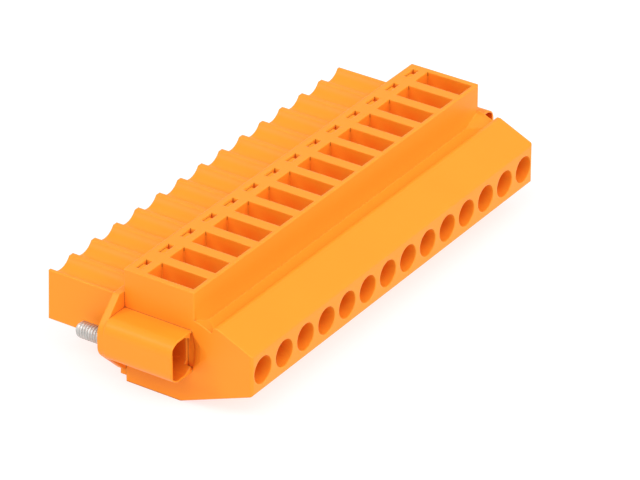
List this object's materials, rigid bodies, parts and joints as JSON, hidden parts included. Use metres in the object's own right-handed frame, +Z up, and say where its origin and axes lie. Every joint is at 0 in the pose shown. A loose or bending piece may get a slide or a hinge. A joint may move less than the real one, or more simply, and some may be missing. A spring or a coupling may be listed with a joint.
{
  "type": "pluggable terminal block",
  "caption": "Pluggable spring-clamp terminal block: a moulded row of wire entries with tool slots above, a screw flange at each end and sockets on the mating side.",
  "frame": {"origin": "middle of the footprint, level with the flat underside", "axes": "+Z up, -Y towards the wires, +Y towards the header that the plug mates with, X along the row"},
  "size_m": [0.081, 0.0336, 0.0177],
  "materials": {
    "orange_plastic": "satin",
    "tinned_copper": "satin",
    "spring_steel": "satin",
    "screw_steel": "satin"
  },
  "bodies": {
    "plug": {"housing": "orange_plastic", "contact_1": "tinned_copper", "contact_2": "tinned_copper", "contact_3": "tinned_copper", "contact_4": "tinned_copper", "contact_5": "tinned_copper", "contact_6": "tinned_copper", "contact_7": "tinned_copper", "contact_8": "tinned_copper", "contact_9": "tinned_copper", "contact_10": "tinned_copper", "contact_11": "tinned_copper", "contact_12": "tinned_copper", "contact_13": "tinned_copper", "contact_14": "tinned_copper"},
    "spring_1": {"clamp_spring_1": "spring_steel"},
    "spring_2": {"clamp_spring_2": "spring_steel"},
    "spring_3": {"clamp_spring_3": "spring_steel"},
    "spring_4": {"clamp_spring_4": "spring_steel"},
    "spring_5": {"clamp_spring_5": "spring_steel"},
    "spring_6": {"clamp_spring_6": "spring_steel"},
    "spring_7": {"clamp_spring_7": "spring_steel"},
    "spring_8": {"clamp_spring_8": "spring_steel"},
    "spring_9": {"clamp_spring_9": "spring_steel"},
    "spring_10": {"clamp_spring_10": "spring_steel"},
    "spring_11": {"clamp_spring_11": "spring_steel"},
    "spring_12": {"clamp_spring_12": "spring_steel"},
    "spring_13": {"clamp_spring_13": "spring_steel"},
    "spring_14": {"clamp_spring_14": "spring_steel"},
    "screw_left": {"flange_screw_left": "screw_steel"},
    "screw_right": {"flange_screw_right": "screw_steel"}
  },
  "joints": [
    {"name": "spring_1_press", "type": "hinge", "parent": "plug", "child": "spring_1", "pos_m": [-0.03302, -0.00068, 0.0099], "axis": [1, 0, 0], "range_deg": [0, 24], "stiffness_Nm_per_rad": 0.02},
    {"name": "spring_2_press", "type": "hinge", "parent": "plug", "child": "spring_2", "pos_m": [-0.02794, -0.00068, 0.0099], "axis": [1, 0, 0], "range_deg": [0, 24], "stiffness_Nm_per_rad": 0.02},
    {"name": "spring_3_press", "type": "hinge", "parent": "plug", "child": "spring_3", "pos_m": [-0.02286, -0.00068, 0.0099], "axis": [1, 0, 0], "range_deg": [0, 24], "stiffness_Nm_per_rad": 0.02},
    {"name": "spring_4_press", "type": "hinge", "parent": "plug", "child": "spring_4", "pos_m": [-0.01778, -0.00068, 0.0099], "axis": [1, 0, 0], "range_deg": [0, 24], "stiffness_Nm_per_rad": 0.02},
    {"name": "spring_5_press", "type": "hinge", "parent": "plug", "child": "spring_5", "pos_m": [-0.0127, -0.00068, 0.0099], "axis": [1, 0, 0], "range_deg": [0, 24], "stiffness_Nm_per_rad": 0.02},
    {"name": "spring_6_press", "type": "hinge", "parent": "plug", "child": "spring_6", "pos_m": [-0.00762, -0.00068, 0.0099], "axis": [1, 0, 0], "range_deg": [0, 24], "stiffness_Nm_per_rad": 0.02},
    {"name": "spring_7_press", "type": "hinge", "parent": "plug", "child": "spring_7", "pos_m": [-0.00254, -0.00068, 0.0099], "axis": [1, 0, 0], "range_deg": [0, 24], "stiffness_Nm_per_rad": 0.02},
    {"name": "spring_8_press", "type": "hinge", "parent": "plug", "child": "spring_8", "pos_m": [0.00254, -0.00068, 0.0099], "axis": [1, 0, 0], "range_deg": [0, 24], "stiffness_Nm_per_rad": 0.02},
    {"name": "spring_9_press", "type": "hinge", "parent": "plug", "child": "spring_9", "pos_m": [0.00762, -0.00068, 0.0099], "axis": [1, 0, 0], "range_deg": [0, 24], "stiffness_Nm_per_rad": 0.02},
    {"name": "spring_10_press", "type": "hinge", "parent": "plug", "child": "spring_10", "pos_m": [0.0127, -0.00068, 0.0099], "axis": [1, 0, 0], "range_deg": [0, 24], "stiffness_Nm_per_rad": 0.02},
    {"name": "spring_11_press", "type": "hinge", "parent": "plug", "child": "spring_11", "pos_m": [0.01778, -0.00068, 0.0099], "axis": [1, 0, 0], "range_deg": [0, 24], "stiffness_Nm_per_rad": 0.02},
    {"name": "spring_12_press", "type": "hinge", "parent": "plug", "child": "spring_12", "pos_m": [0.02286, -0.00068, 0.0099], "axis": [1, 0, 0], "range_deg": [0, 24], "stiffness_Nm_per_rad": 0.02},
    {"name": "spring_13_press", "type": "hinge", "parent": "plug", "child": "spring_13", "pos_m": [0.02794, -0.00068, 0.0099], "axis": [1, 0, 0], "range_deg": [0, 24], "stiffness_Nm_per_rad": 0.02},
    {"name": "spring_14_press", "type": "hinge", "parent": "plug", "child": "spring_14", "pos_m": [0.03302, -0.00068, 0.0099], "axis": [1, 0, 0], "range_deg": [0, 24], "stiffness_Nm_per_rad": 0.02},
    {"name": "screw_left_turn", "type": "hinge", "parent": "plug", "child": "screw_left", "pos_m": [-0.0381, 0.0022, 0.00771], "axis": [0, 1, 0], "continuous": true},
    {"name": "screw_right_turn", "type": "hinge", "parent": "plug", "child": "screw_right", "pos_m": [0.0381, 0.0022, 0.00771], "axis": [0, 1, 0], "continuous": true}
  ]
}
